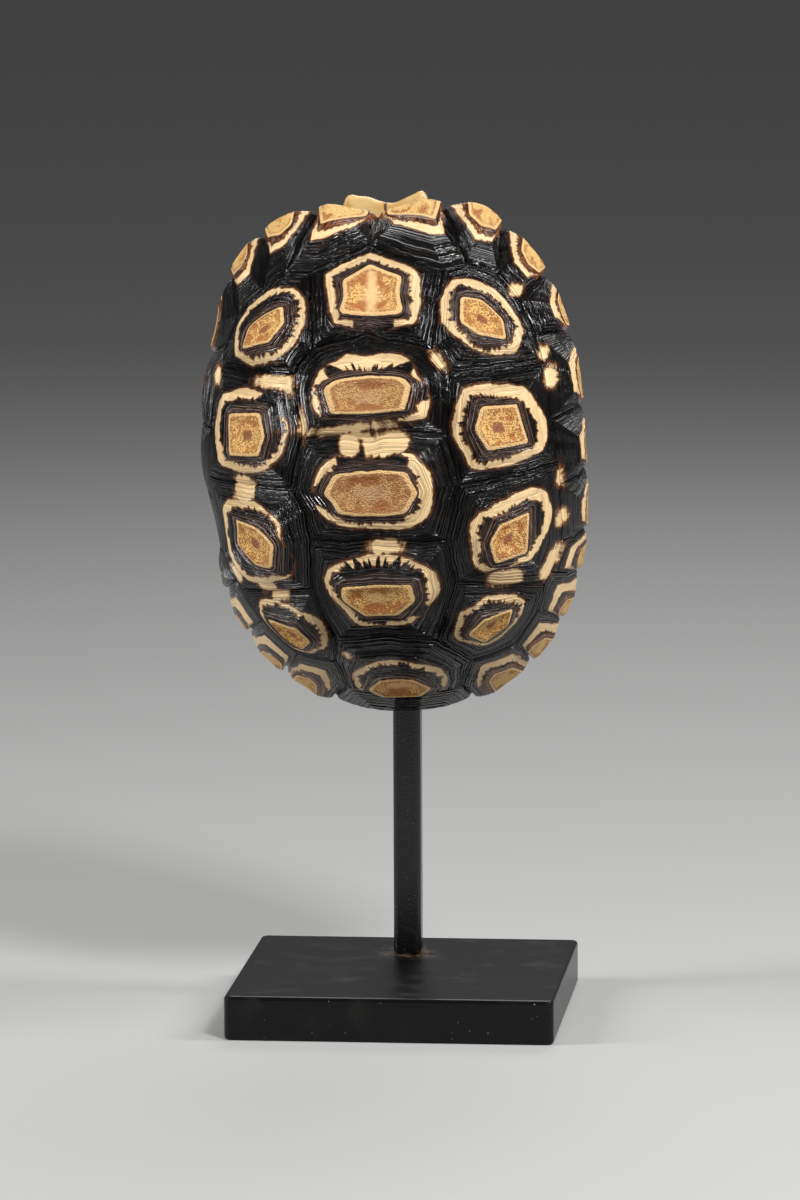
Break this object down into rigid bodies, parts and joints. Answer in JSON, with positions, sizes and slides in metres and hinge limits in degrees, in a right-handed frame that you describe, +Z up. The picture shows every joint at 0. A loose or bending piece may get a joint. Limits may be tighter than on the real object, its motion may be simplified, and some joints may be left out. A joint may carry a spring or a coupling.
{
  "type": "tortoise shell on a display stand",
  "caption": "Empty tortoise shell, dome to the front and head end up, held by a square black bar on a square black base plate.",
  "frame": {"origin": "middle of the base plate's underside", "axes": "+Z up, -Y towards the front that the shell's dome faces, +X to the right seen from the front"},
  "size_m": [0.0835, 0.07, 0.1755],
  "materials": {
    "shell_horn": "polished horn scutes, black growth rings with cream bands and orange-brown centres",
    "post_black": "satin black paint, slightly rough",
    "base_black": "satin black with fine dust",
    "screw_zinc": "zinc plated"
  },
  "bodies": {
    "root": {"tortoise_shell": "shell_horn", "stand_post": "post_black", "stand_base": "base_black", "post_screw": "screw_zinc"}
  },
  "joints": []
}
